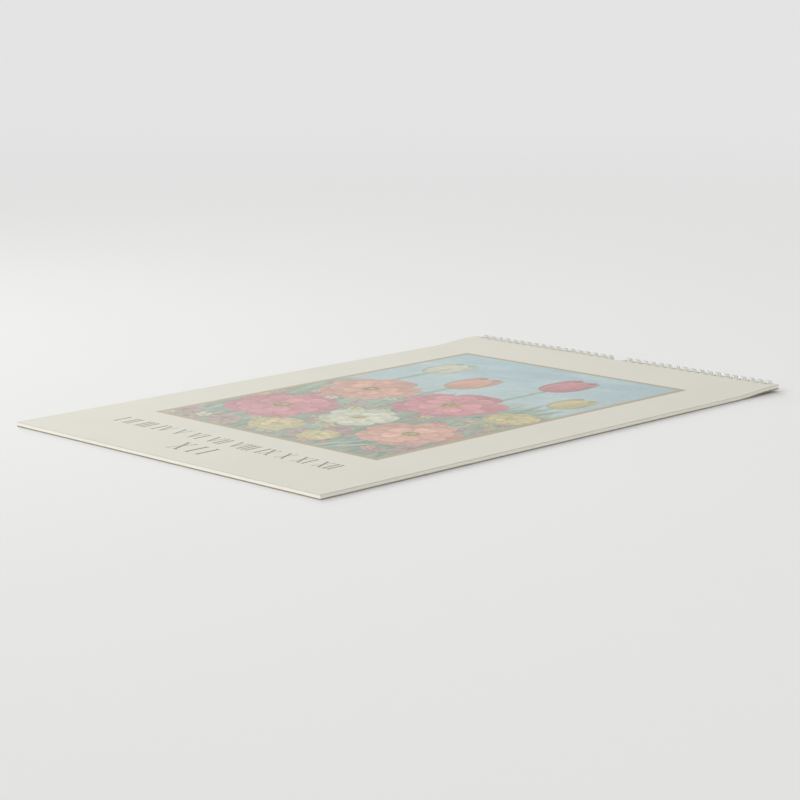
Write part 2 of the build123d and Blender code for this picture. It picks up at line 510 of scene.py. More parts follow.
def tube(points, sides, radius, round_steps):
    """Points and faces of a round wire along a path, with a direction across the wire at each point."""
    ring_points = []
    last = len(points) - 1
    for i, (middle, side) in enumerate(zip(points, sides)):
        ahead = points[min(i + 1, last)] - points[max(i - 1, 0)]
        across = side - ahead * (side.dot(ahead) / ahead.length_squared)
        across.normalize()
        other = ahead.normalized().cross(across)
        for k in range(round_steps):
            angle = 2 * pi * k / round_steps
            ring_points.append(middle + across * (radius * cos(angle)) + other * (radius * sin(angle)))
    faces = []
    for i in range(last):
        for k in range(round_steps):
            a = i * round_steps + k
            b = i * round_steps + (k + 1) % round_steps
            faces.append((a, b, b + round_steps, a + round_steps))
    faces.append(tuple(reversed(range(round_steps))))
    faces.append(tuple(last * round_steps + k for k in range(round_steps)))
    return ring_points, faces


def arc(middle_u, middle_v, radius, start, turn, steps):
    """Points of a flat arc, as pairs."""
    angles = [start + turn * i / steps for i in range(steps + 1)]
    return [(middle_u + radius * cos(angle), middle_v + radius * sin(angle)) for angle in angles]


class CALENDAR_OT_sheets(bpy.types.Operator):
    """Make the back board, the leaves and the front cover"""

    bl_idname = "calendar.sheets"
    bl_label = "Sheets"

    drift_seed = 27

    def execute(self, context):
        sheets = context.scene.calendar_sheets
        wire = context.scene.calendar_wire
        card = paper_material("cover_card", sheets.cover_colour, 0.6 * MM, 0.02 * MM)
        page = paper_material("page_paper", sheets.page_colour, 0.4 * MM, 0.012 * MM)
        board = board_material("greyboard", sheets.board_colour)
        sides = (COVER_LOW.x, COVER_HIGH.x, COVER_LOW.y)
        back = PunchedSheet(sheets, wire, BOARD_LOW.z, BOARD_HIGH.z - RISE, *sides)
        hand_over(back.build("board_sheet", board), "board", ["back_board"])
        front = PunchedSheet(sheets, wire, COVER_LOW.z, COVER_TOP, *sides)
        hand_over(front.build("cover_sheet", card), "cover", ["front_cover"])
        self.leaves(sheets, wire, page)
        return {"FINISHED"}

    def leaves(self, sheets, wire, material):
        """The leaves one over the other, each a hair out of line with the next."""
        chance = np.random.default_rng(self.drift_seed)
        step = (PAGES_HIGH.z - RISE - PAGES_LOW.z) / sheets.leaves
        for i in range(sheets.leaves):
            drift = chance.uniform(0, sheets.leaf_drift, 3)
            if i in (0, sheets.leaves - 1):
                drift[:] = 0
            low = PAGES_LOW.z + i * step
            leaf = PunchedSheet(
                sheets, wire, low, low + step - sheets.leaf_gap,
                PAGES_LOW.x + drift[0], PAGES_HIGH.x - drift[1], PAGES_LOW.y + drift[2],
            )
            nodes = ["page_block"] if i == 0 else []
            hand_over(leaf.build(f"leaf_{i + 1:02d}", material), "pages", nodes)


class CALENDAR_OT_wire(bpy.types.Operator):
    """Bend the two strips of twin-loop wire"""

    bl_idname = "calendar.wire"
    bl_label = "Twin-loop wire"

    loop_steps = 44
    tip_steps = 8
    corner_steps = 5
    round_steps = 12
    corner_radius = 0.8 * MM

    def execute(self, context):
        wire = context.scene.calendar_wire
        material = wire_material("white_wire", wire.wire_colour)
        for side, name in ((-1, "left"), (1, "right")):
            points, outward = self.route(wire, side)
            shape = tube(points, outward, wire.thickness / 2, self.round_steps)
            piece = make_piece(f"loops_{name}", *shape, material, WIRE_SMOOTH)
            hand_over(piece, "board", [f"binding_wire_{name}"])
        return {"FINISHED"}

    def flat_route(self, wire):
        """The strip rolled out flat: along the edge, and round the loops from the spine."""
        radius = RING_AXIS.z - wire.thickness / 2
        half = wire.leg_spacing / 2
        bend = self.corner_radius
        reach = (2 * pi - wire.seam_gap) * radius
        places = loop_places(wire)
        end = half + wire.stub
        route = [(places[0] - end, 0.0)]
        for x in places:
            up = np.linspace(bend, reach - half, self.loop_steps)
            route += arc(x - half - bend, bend, bend, -pi / 2, pi / 2, self.corner_steps)[:-1]
            route += [(x - half, float(s)) for s in up[:-1]]
            route += arc(x, reach - half, half, pi, -pi, self.tip_steps)[:-1]
            route += [(x + half, float(s)) for s in reversed(up)][:-1]
            route += arc(x + half + bend, bend, bend, pi, pi / 2, self.corner_steps)
        route.append((places[-1] + end, 0.0))
        return route, radius

    def route(self, wire, side):
        """The strip's centre line, and at each point the direction away from the loops' middle."""
        flat, radius = self.flat_route(wire)
        points = []
        outward = []
        for x, along in flat:
            angle = wire.seam_angle - along / radius
            out = Vector((0.0, cos(angle), sin(angle)))
            points.append(Vector((side * x, RING_AXIS.y, RING_AXIS.z)) + out * radius)
            outward.append(out)
        if side < 0:
            points.reverse()
            outward.reverse()
        return points, outward


class CALENDAR_OT_hanger(bpy.types.Operator):
    """Bend the hanger that lies inside the loops"""

    bl_idname = "calendar.hanger"
    bl_label = "Hanger"

    round_steps = 16
    bend_steps = 8
    tip_steps = 14
    arm_shares = (1.0, 0.75, 0.5, 0.25)

    def execute(self, context):
        wire = context.scene.calendar_wire
        radius = wire.thickness / 2
        leg = wire.hook_width / 2 - radius
        shoulder = wire.hook_reach - radius - leg
        bend = wire.hook_bend
        half = [(HANGER_HIGH.x * share, 0.0) for share in self.arm_shares]
        half += arc(leg + bend, bend, bend, -pi / 2, -pi / 2, self.bend_steps)
        half += arc(0.0, shoulder, leg, 0.0, pi / 2, self.tip_steps)
        flat = half + [(-x, v) for x, v in reversed(half[:-1])]
        drop = HANGER_AXIS.z - radius - HANGER_LOW.z
        droop = Matrix.Rotation(-atan2(drop, wire.hook_reach - radius), 3, "X")
        points = [HANGER_AXIS + droop @ Vector((x, v, 0.0)) for x, v in flat]
        sides = [droop @ Vector((0.0, 0.0, 1.0))] * len(points)
        shape = tube(points, sides, radius, self.round_steps)
        material = wire_material("hanger_coat", wire.wire_colour)
        piece = make_piece("hanger_hook", *shape, material, WIRE_SMOOTH)
        hand_over(piece, "hanger", ["hanger"])
        return {"FINISHED"}


def round_petal(s):
    """Half width of a broad petal with a blunt end, as a share, along it from 0 to 1."""
    return 1.12 * s**0.8 * np.sqrt(np.clip(1 - s**5, 0, 1))


def cup_petal(s):
    """Half width of a tulip's petal, widest low down and pointed at its tip."""
    return np.sin(pi * s**0.72) ** 0.72


def blade(s):
    """Half width of a long leaf."""
    return np.sin(pi * s**0.8) ** 0.9


def stem_line(s):
    """Half width of a stem, the same all along."""
    return np.ones_like(s)


class Painting:
    """A flat picture held on a grid of points, painted from the back to the front. Its sizes are in mm."""

    everywhere = (slice(None), slice(None))
    lattice = 64
    soft_edge = 0.9

    # The dark halo round a petal: its width in soft edges, its strength and its tone
    halo_width = 1.6
    halo_share = 0.3
    halo_tone = 0.82

    # What makes up a petal's tone, from 0 for the dark shade to 1 for the pale one
    foot_tone = 0.28
    tip_gain = 0.62
    side_gain = 0.14
    vein_gain = 1.6
    vein_length = 0.55
    vein_width = 0.11
    daub_gain = 0.16
    daub_size = 4.0
    most_tone = 1.25

    def __init__(self, width, height, cell, seed):
        self.width = width
        self.height = height
        self.columns = round(width / cell) + 1
        self.rows = round(height / cell) + 1
        self.u, self.v = np.meshgrid(np.linspace(0, width, self.columns), np.linspace(0, height, self.rows))
        self.colour = np.zeros(self.u.shape + (3,))
        self.chance = np.random.default_rng(seed)
        self.spots = self.chance.uniform(-1, 1, (self.lattice, self.lattice))

    def patches(self, u, v, size_u, size_v, turn=0.0):
        """Soft random patches of about that size, between -1 and 1."""
        shift = self.chance.uniform(0, self.lattice, 2)
        a = (u * cos(turn) + v * sin(turn)) / size_u + shift[0]
        b = (v * cos(turn) - u * sin(turn)) / size_v + shift[1]
        i = np.floor(a).astype(int)
        j = np.floor(b).astype(int)
        p = a - i
        q = b - j
        p = p * p * (3 - 2 * p)
        q = q * q * (3 - 2 * q)
        near = self.spots[i % self.lattice, j % self.lattice] * (1 - p)
        near += self.spots[(i + 1) % self.lattice, j % self.lattice] * p
        far = self.spots[i % self.lattice, (j + 1) % self.lattice] * (1 - p)
        far += self.spots[(i + 1) % self.lattice, (j + 1) % self.lattice] * p
        return near * (1 - q) + far * q

    def all_over(self, size_u, size_v, turn=0.0):
        """Such patches over the whole picture."""
        return self.patches(self.u, self.v, size_u, size_v, turn)

    def lay(self, window, share, shade):
        """Covers part of the picture with a colour, by a share from 0 to 1 at each point."""
        part = self.colour[window]
        part += share[..., None] * (shade - part)

    def window(self, u, v, reach):
        """The part of the picture within reach of a point."""
        cell_u = self.width / (self.columns - 1)
        cell_v = self.height / (self.rows - 1)
        left = max(int((u - reach) / cell_u), 0)
        right = max(int((u + reach) / cell_u) + 2, 0)
        low = max(int((v - reach) / cell_v), 0)
        high = max(int((v + reach) / cell_v) + 2, 0)
        return (slice(low, high), slice(left, right))

    def petal(self, foot, heading, reach, width, shades, outline, bend=0.0, veins=0.16):
        """One petal or leaf from its foot outwards: a darker rim and foot, and veins along it."""
        window = self.window(foot[0], foot[1], reach + width)
        du = self.u[window] - foot[0]
        dv = self.v[window] - foot[1]
        if not du.size:
            return
        along = (du * cos(heading) + dv * sin(heading)) / reach
        inside = np.clip(along, 0, 1)
        across = (dv * cos(heading) - du * sin(heading)) - bend * inside**2
        half = outline(inside) * width / 2
        gap = np.minimum(half - np.abs(across), np.minimum(along, 1 - along) * reach)
        halo = np.clip(gap / self.soft_edge + self.halo_width, 0, 1) * self.halo_share
        self.lay(window, halo, shades[0] * self.halo_tone)
        fan = across / (half + 0.15 * width)
        grain = self.patches(along * reach, fan, self.vein_length * reach, self.vein_width)
        daub = self.patches(self.u[window], self.v[window], self.daub_size, self.daub_size)
        side = np.clip(across / (half + 0.5), -1, 1)
        tone = self.foot_tone + self.tip_gain * inside + veins * self.vein_gain * grain
        tone += self.daub_gain * daub + self.side_gain * side
        shade = shades[0] + (shades[1] - shades[0]) * np.clip(tone, 0, self.most_tone)[..., None]
        self.lay(window, np.clip(gap / self.soft_edge + 0.5, 0, 1), shade)


class Garden(Painting):
    """A meadow of made-up garden flowers under a soft sky."""

    # An ink's darkest and palest tones as shares of it, and what is added to the palest
    deep = 0.88
    pale = 1.02
    paler = 0.03

    # How many bloom units fit along the picture's width and its height
    units_across = 5
    units_up = 7.34

    # The ground and what grows on it
    horizon_share = HILLS_TOP - 0.05
    hill_edge = 3.0
    hill_depth = 120.0
    grass_blades = 260
    grass_overhang = 12
    grass_reach = (18, 60)
    grass_width = (2.0, 7.0)
    fillers = 70
    filler_petals = 9
    filler_radius = (6, 15)
    filler_tint = 0.55
    small_margin = 4
    small_reach = (3.2, 6.5)
    stem_width = 3.4
    heart_tone = 0.85
    dot_radius = 1.5
    golden_turn = 2.4

    # The tan margin inside the picture's line
    rim_width = 3.2
    rim_share = 0.75

    def __init__(self, inks, size, seed):
        super().__init__(size.x / MM, size.y / MM, inks.cell / MM, seed)
        self.inks = inks
        self.open_blooms = self.places(OPEN_BLOOMS)
        self.tulips = self.places(TULIPS)
        self.green = self.shades(inks.leaf, self.deep, 1.1)
        self.horizon = self.horizon_share * self.height

    def places(self, flowers):
        """Each flower as its ink, its place and its radius in mm, the highest ones first."""
        unit = min(self.width / self.units_across, self.height / self.units_up)
        found = [
            (name, share_u * self.width, share_v * self.height, radius * unit)
            for name, spots in flowers.items()
            for share_u, share_v, radius in spots
        ]
        return sorted(found, key=lambda flower: -flower[2])

    def shades(self, shade, deep=deep, pale=pale):
        """The darkest and the lightest tone of an ink."""
        base = display(shade)
        return base * deep, np.minimum(base * pale + self.paler, 1.0)

    def paint(self):
        self.sky()
        self.ground()
        self.grass()
        self.filler_blooms()
        for flower in self.tulips:
            self.stem(*flower[1:])
        for flower in self.tulips:
            self.tulip(*flower)
        for flower in self.open_blooms:
            self.open_bloom(*flower)
        self.small_blooms()
        self.wash()
        self.rim()
        return self

    def sky(self):
        inks = self.inks
        low = display(inks.sky_low)
        high = display(inks.sky_high)
        climb = np.clip((self.v - self.horizon) / (self.height - self.horizon), 0, 1)[..., None]
        self.colour[:] = low + (high - low) * climb
        clouds = self.all_over(46.0, 15.0, 0.25) + 0.5 * self.all_over(17.0, 6.0, 0.3)
        self.lay(self.everywhere, np.clip(clouds - 0.25, 0, 1) * 0.55, low * 1.06)
        strokes = self.all_over(11.0, 2.2, 0.55)
        self.lay(self.everywhere, np.clip(strokes, 0, 1) * 0.25, high * 0.94)

    def ground(self):
        """Two low hills, the near one with upright strokes of grass."""
        hills = ((0.10, 9.0, self.inks.hills), (0.05, 7.0, self.inks.meadow))
        for rise, swell, shade in hills:
            crest = self.horizon + rise * self.height + swell * np.sin(self.u / 37.0 + 30 * rise)
            crest += 3 * np.sin(self.u / 13.0)
            depth = np.clip((crest - self.v) / self.hill_depth, 0, 1)
            grain = self.all_over(2.2, 13.0, 0.08) + 0.6 * self.all_over(9.0, 9.0)
            tone = (1.04 - 0.12 * depth + 0.08 * grain)[..., None]
            share = np.clip((crest - self.v) / self.hill_edge + 0.5, 0, 1)
            self.lay(self.everywhere, share, display(shade) * tone)

    def grass(self):
        chance = self.chance
        for _ in range(self.grass_blades):
            foot = (chance.uniform(0, self.width), chance.uniform(-self.grass_overhang, self.horizon))
            reach = chance.uniform(*self.grass_reach)
            tint = chance.uniform(0.9, 1.16)
            shades = (self.green[0] * tint, self.green[1] * tint)
            heading = pi / 2 + chance.normal(0, 0.3)
            width = chance.uniform(*self.grass_width)
            self.petal(foot, heading, reach, width, shades, blade, chance.normal(0, 6))

    def filler_blooms(self):
        """Pale many-petalled flowers that stand behind the large ones."""
        chance = self.chance
        tints = (self.inks.rose, self.inks.coral, self.inks.rose, self.inks.yellow)
        for i in range(self.fillers):
            u = chance.uniform(0, self.width)
            v = chance.uniform(0, 1.06 * self.horizon)
            base = display(tints[i % len(tints)]) * self.filler_tint
            base = base + display(self.inks.meadow) * (1 - self.filler_tint)
            radius = chance.uniform(*self.filler_radius)
            shades = (base * self.deep, base * 1.1)
            for k in range(self.filler_petals):
                self.petal((u, v), self.golden_turn * k, radius, 0.6 * radius, shades, round_petal)

    def stem(self, u, v, radius):
        """The stem of a tulip and its two long leaves."""
        low = 0.1 * v
        self.petal((u, low), pi / 2, v - radius - low, self.stem_width, self.green, stem_line, veins=0.05)
        self.petal((u, 0.16 * v), pi / 2 + 0.2, 0.58 * v, 0.62 * radius, self.green, blade, 0.5 * radius)
        self.petal((u, 0.2 * v), pi / 2 - 0.16, 0.5 * v, 0.5 * radius, self.green, blade, -0.55 * radius)

    def open_bloom(self, ink_name, u, v, radius):
        """A flower seen from the front: rings of petals that shrink towards a heart of dots."""
        shades = self.shades(getattr(self.inks, ink_name))
        step = 2 * pi / PETALS
        rings = ((1.0, 0.8, (-0.2, 0.2), 1.0), (0.8, 0.66, (-0.22, 0.22), 1.05), (0.54, 0.6, (0.0,), 1.1))
        for ring, (reach, width, lobes, lift) in enumerate(rings):
            for i in range(PETALS):
                heading = pi / 2 + (i + 0.5 * ring) * step + self.chance.normal(0, 0.04)
                tint = lift * self.chance.uniform(0.95, 1.05)
                for lobe in lobes:
                    self.petal(
                        (u, v), heading + lobe, reach * radius, width * radius,
                        (shades[0] * tint, shades[1] * tint), round_petal,
                    )
        self.heart(u, v, 0.17 * radius)

    def heart(self, u, v, radius, dots=26):
        """The middle of an open flower: a dark disc under pale dots."""
        window = self.window(u, v, 2 * radius)
        distance = np.hypot(self.u[window] - u, self.v[window] - v)
        disc = np.clip((radius - distance) / 2 + 0.5, 0, 1)
        self.lay(window, disc * self.heart_tone, display(self.inks.heart) * self.heart_tone)
        for i in range(dots):
            reach = radius * self.chance.uniform(0.15, 1.35)
            dot_u = u + reach * cos(self.golden_turn * i)
            dot_v = v + reach * sin(self.golden_turn * i)
            spot = self.window(dot_u, dot_v, 2 * self.dot_radius)
            away = np.hypot(self.u[spot] - dot_u, self.v[spot] - dot_v)
            shade = display(self.inks.yellow) * self.chance.uniform(0.9, 1.12)
            self.lay(spot, np.clip(self.dot_radius - away, 0, 1), shade)

    def tulip(self, ink_name, u, v, radius):
        """A closed cup seen from the side: the petals behind first, then the sides and the front."""
        shades = self.shades(getattr(self.inks, ink_name))
        petals = (
            (0.2, 2.0, 0.95, 0.86),
            (-0.2, 2.0, 0.95, 0.88),
            (0.34, 1.95, 0.8, 0.97),
            (-0.34, 1.95, 0.8, 1.0),
            (0.0, 1.9, 1.15, 1.06),
        )
        for turn, reach, width, tone in petals:
            self.petal(
                (u, v - radius), pi / 2 + turn, reach * radius, width * radius,
                (shades[0] * tone, shades[1] * tone), cup_petal, -0.5 * turn * radius,
            )

    def small_blooms(self):
        """Little five-petalled flowers strewn in the grass, clear of the large ones."""
        chance = self.chance
        tints = (self.inks.cream, self.inks.rose, self.inks.yellow, self.inks.coral)
        for i in range(self.fillers):
            u = chance.uniform(self.small_margin, self.width - self.small_margin)
            v = chance.uniform(self.small_margin, self.horizon)
            reach = chance.uniform(*self.small_reach)
            turn = chance.uniform(0, pi)
            if any(np.hypot(u - x, v - y) < radius for _, x, y, radius in self.open_blooms):
                continue
            shades = self.shades(tints[i % len(tints)], 0.85, 1.15)
            for k in range(PETALS):
                self.petal((u, v), turn + 2 * pi * k / PETALS, reach, 0.8 * reach, shades, round_petal)
            self.heart(u, v, 0.12 * reach, 3)

    def wash(self):
        """The last soft unevenness of a watercolour."""
        mottle = self.all_over(26.0, 26.0) + 0.7 * self.all_over(3.0, 3.0)
        self.colour *= (1 + 0.03 * mottle)[..., None]
        np.clip(self.colour, 0, 1, out=self.colour)

    def rim(self):
        """A soft tan margin along the picture's sides."""
        from_side = np.minimum(self.u, self.width - self.u)
        inside = np.minimum(from_side, np.minimum(self.v, self.height - self.v))
        share = np.clip(self.rim_width - inside, 0, 1) * self.rim_share
        self.lay(self.everywhere, share, display(self.inks.frame_line))


def ink_sheet(name, painting, low, top):
    """A painted grid as a closed, thin sheet of ink, with its colours held at its points."""
    places = [low.x + painting.u * MM, low.y + painting.v * MM, np.full(painting.u.shape, top)]
    flat = np.stack(places, -1).reshape(-1, 3)
    painted = len(flat)
    index = np.arange(painted).reshape(painting.rows, painting.columns)
    quads = np.stack([index[:-1, :-1], index[:-1, 1:], index[1:, 1:], index[1:, :-1]], -1).reshape(-1, 4)
    rim = np.concatenate([index[0], index[1:, -1], index[-1, -2::-1], index[-2:0:-1, 0]])
    under = flat[rim].copy()
    under[:, 2] = low.z
    below = painted + np.arange(len(rim))
    skirt = np.stack([below, np.roll(below, -1), np.roll(rim, -1), rim], -1)
    faces = np.concatenate([quads, skirt]).tolist()
    faces.append(below[::-1].tolist())
    points = np.concatenate([flat, under]).tolist()
    piece = make_piece(name, points, faces, printed_material(f"{name}_ink"))
    values = np.ones((len(points), 4), np.float32)
    values[:painted, :3] = linear(painting.colour.reshape(-1, 3))
    values[painted:, :3] = values[rim, :3]
    layer = piece.data.color_attributes.new(INK_LAYER, "FLOAT_COLOR", "POINT")
    layer.data.foreach_set("color", values.ravel())
    return piece


def print_flat(name, outlines, surface, film, material, body, nodes=()):
    """Prints closed outlines, anticlockwise in metres, as a thin film of ink on a surface."""
    points = []
    faces = []
    for outline in outlines:
        corners = len(outline)
        low = [len(points) + i for i in range(corners)]
        high = [i + corners for i in low]
        for z in (surface, surface + film):
            points += [(x, y, z) for x, y in outline]
        faces.append(low[::-1])
        faces.append(high)
        for i in range(corners):
            j = (i + 1) % corners
            faces.append([low[i], low[j], high[j], high[i]])
    hand_over(make_piece(name, points, faces, material), body, nodes)


def rectangle(left, low, right, high):
    return [(left, low), (right, low), (right, high), (left, high)]


class RomanFace:
    """Roman numerals with thick and thin strokes and serifs. Its sizes are shares of their height."""

    stem = 0.11
    slanted_stem = 0.115
    hair = 0.045
    serif = 0.06
    slab = 0.022
    bracket = 0.07
    five_lean = 0.23
    five_foot = 0.02
    ten_lean = 0.41
    gap = 0.05
    steps = 4

    def stroke_end(self, left, right, way, lean):
        """A stroke's end and its serif, anticlockwise: way is 1 at the head and -1 at the foot."""
        edge = (way + 1) / 2
        curve = []
        for i in range(self.steps + 1):
            turn = pi / 2 * i / self.steps
            shift = -lean * way * (self.slab + self.bracket) * cos(turn)
            curve.append((self.serif * (1 - cos(turn)), shift, self.slab + self.bracket * (1 - sin(turn))))
        near = [(right + out + shift, edge - way * depth) for out, shift, depth in curve]
        far = [(left - out + shift, edge - way * depth) for out, shift, depth in curve]
        near.append((right + self.serif, edge))
        far.append((left - self.serif, edge))
        return near + far[::-1] if way > 0 else far + near[::-1]

    def crossing(self, first, second):
        """Where two edges meet, each given by its place at half height and its lean."""
        lift = (second[0] - first[0]) / (first[1] - second[1])
        return (first[0] + first[1] * lift, 0.5 + lift)

    def one(self):
        half = self.stem / 2
        return self.stroke_end(-half, half, 1, 0.0) + self.stroke_end(-half, half, -1, 0.0)

    def five(self):
        lean = self.five_lean
        thick = self.slanted_stem
        outline = [(self.five_foot, 0.0)]
        outline += self.stroke_end(lean - self.hair, lean, 1, lean)
        outline.append(self.crossing((thick / 2 - lean / 2, -lean), (lean / 2 - self.hair, lean)))
        outline += self.stroke_end(-lean - thick / 2, -lean + thick / 2, 1, -lean)
        outline.append((-self.five_foot, 0.0))
        return outline

    def ten(self):
        """Four arms: from the thick one at the lower right round to the thin one at the lower left."""
        lean = self.ten_lean
        thick = self.slanted_stem / 2
        thin = self.hair / 2
        outline = []
        for side, way, half in ((1, -1, thick), (1, 1, thin), (-1, 1, thick), (-1, -1, thin)):
            middle = side * lean / 2
            outline += self.stroke_end(middle - half, middle + half, way, side * way * lean)
            outline.append(self.crossing((side * thick, -lean), (-way * thin, lean)))
        return outline

    def numeral(self, number):
        """A number up to 39 in its letters."""
        letters = ""
        for value, mark in ((10, "X"), (9, "IX"), (5, "V"), (4, "IV"), (1, "I")):
            while number >= value:
                letters += mark
                number -= value
        return letters

    def line(self, words, middle, foot, height, width):
        """Outlines of words set in a line of that width, spaced evenly about its middle."""
        glyphs = {"I": self.one(), "V": self.five(), "X": self.ten()}
        reach = {}
        for letter, outline in glyphs.items():
            across = [x for x, _ in outline]
            reach[letter] = (min(across), max(across))
        set_width = sum(reach[letter][1] - reach[letter][0] + self.gap for word in words for letter in word)
        space = (width / height - set_width) / max(len(words) - 1, 1)
        x = middle - width / 2
        outlines = []
        for word in words:
            for letter in word:
                low, high = reach[letter]
                outlines.append([(x + (u - low) * height, foot + v * height) for u, v in glyphs[letter]])
                x += (high - low + self.gap) * height
            x += space * height
        return outlines


class CALENDAR_OT_cover_print(bpy.types.Operator):
    """Print the cover: its picture, the line round it and the numbers below"""

    bl_idname = "calendar.cover_print"
    bl_label = "Cover print"

    paint_seed = 11
    fields = ("sky", "meadow", "leaf", "rose", "coral", "cream", "yellow")

    def execute(self, context):
        inks = context.scene.calendar_print
        garden = Garden(inks, PICTURE_HIGH - MEADOW_LOW, self.paint_seed).paint()
        picture = ink_sheet("cover_picture", garden, MEADOW_LOW, COVER_TOP + inks.film)
        hand_over(picture, "cover", [f"print_{name}" for name in self.fields])
        self.line(inks)
        self.numbers(inks)
        return {"FINISHED"}

    def line(self, inks):
        """The fine line round the picture, mitred at its corners."""
        inner = rectangle(MEADOW_LOW.x, MEADOW_LOW.y, PICTURE_HIGH.x, PICTURE_HIGH.y)
        outer = rectangle(FRAME_LOW.x, FRAME_LOW.y, FRAME_HIGH.x, FRAME_HIGH.y)
        sides = []
        for i in range(4):
            j = (i + 1) % 4
            sides.append([outer[i], outer[j], inner[j], inner[i]])
        tan = printed_material("line_ink", inks.frame_line)
        nodes = ["print_frame_line"]
        print_flat("picture_line", sides, COVER_TOP, inks.film, tan, "cover", nodes)

    def numbers(self, inks):
        """Two lines of plain numbers: the months' numbers, and how many there are."""
        face = RomanFace()
        middle = inks.months_middle
        months = [face.numeral(number) for number in range(1, MONTHS + 1)]
        foot = COVER_LOW.y + inks.months_foot
        outlines = face.line(months, middle, foot, inks.months_height, inks.months_width)
        foot = COVER_LOW.y + inks.count_foot
        outlines += face.line(face.numeral(MONTHS), middle, foot, inks.count_height, inks.count_width)
        grey = printed_material("letter_ink", inks.letters)
        print_flat("cover_numbers", outlines, COVER_TOP, inks.film, grey, "cover")


class CALENDAR_OT_first_page(bpy.types.Operator):
    """Print the first leaf: a plain month of numbered days"""

    bl_idname = "calendar.first_page"
    bl_label = "First page"

    days = 31
    columns = 7
    rows = 5
    first_column = 2
    inset = 0.12
    rule = 0.4 * MM
    band_gap = 3 * MM
    month_gap = 12 * MM
    curve_steps = 3

    def execute(self, context):
        inks = context.scene.calendar_print
        top = PAGES_HIGH.z - RISE
        grid = self.grid(inks)
        left, low, right, high = grid
        band_top = high + inks.band_height
        band = [rectangle(left, high + self.band_gap, right, band_top)]
        face = RomanFace()
        size = inks.count_height
        month = face.line(face.numeral(1), 0.0, band_top + self.month_gap, size, face.stem * size)
        tan = printed_material("rule_ink", inks.frame_line)
        green = printed_material("band_ink", inks.hills)
        grey = printed_material("number_ink", inks.letters)
        print_flat("page_rules", self.rules(grid), top, inks.film, tan, "pages")
        print_flat("page_band", band, top, inks.film, green, "pages")
        print_flat("page_month", month, top, inks.film, grey, "pages")
        self.day_numbers(inks, grid, top, grey)
        return {"FINISHED"}

    def rules(self, grid):
        """Upright rules from foot to head, and level ones in lengths between them."""
        left, low, right, high = grid
        half = self.rule / 2
        xs = [left + (right - left) * i / self.columns for i in range(self.columns + 1)]
        ys = [low + (high - low) * j / self.rows for j in range(self.rows + 1)]
        outlines = [rectangle(x - half, low, x + half, high) for x in xs]
        for y in ys:
            outlines += [rectangle(a + half, y - half, b - half, y + half) for a, b in zip(xs, xs[1:])]
        return outlines

    def grid(self, inks):
        """Left, low, right and high sides of the grid of days."""
        half = inks.grid_width / 2
        low = PAGES_LOW.y + inks.grid_foot
        return (-half, low, half, low + inks.grid_height)

    def day_numbers(self, inks, grid, top, material):
        left, low, right, high = grid
        cell_width = (right - left) / self.columns
        cell_height = (high - low) / self.rows
        book = bmesh.new()
        for day in range(self.days):
            row, column = divmod(day + self.first_column, self.columns)
            x = left + (column + self.inset) * cell_width
            y = high - (row + self.inset) * cell_height - inks.day_height
            self.write(book, str(day + 1), inks.day_height, (x, y, top + inks.film / 2), inks.film)
        mesh = bpy.data.meshes.new("page_days")
        book.to_mesh(mesh)
        book.free()
        mesh.materials.append(material)
        hand_over(link("page_days", mesh), "pages")

    def write(self, book, text, height, place, film):
        """Adds a number in the plain built-in letters to the book of numbers."""
        curve = bpy.data.curves.new("day", "FONT")
        curve.body = text
        curve.size = height / CAP_SHARE
        curve.extrude = film / 2
        curve.resolution_u = self.curve_steps
        word = bpy.data.objects.new("day", curve)
        mesh = bpy.data.meshes.new_from_object(word)
        mesh.transform(Matrix.Translation(place))
        book.from_mesh(mesh)
        bpy.data.objects.remove(word)
        bpy.data.curves.remove(curve)
        bpy.data.meshes.remove(mesh)
        bmesh.ops.remove_doubles(book, verts=book.verts, dist=film / 10)


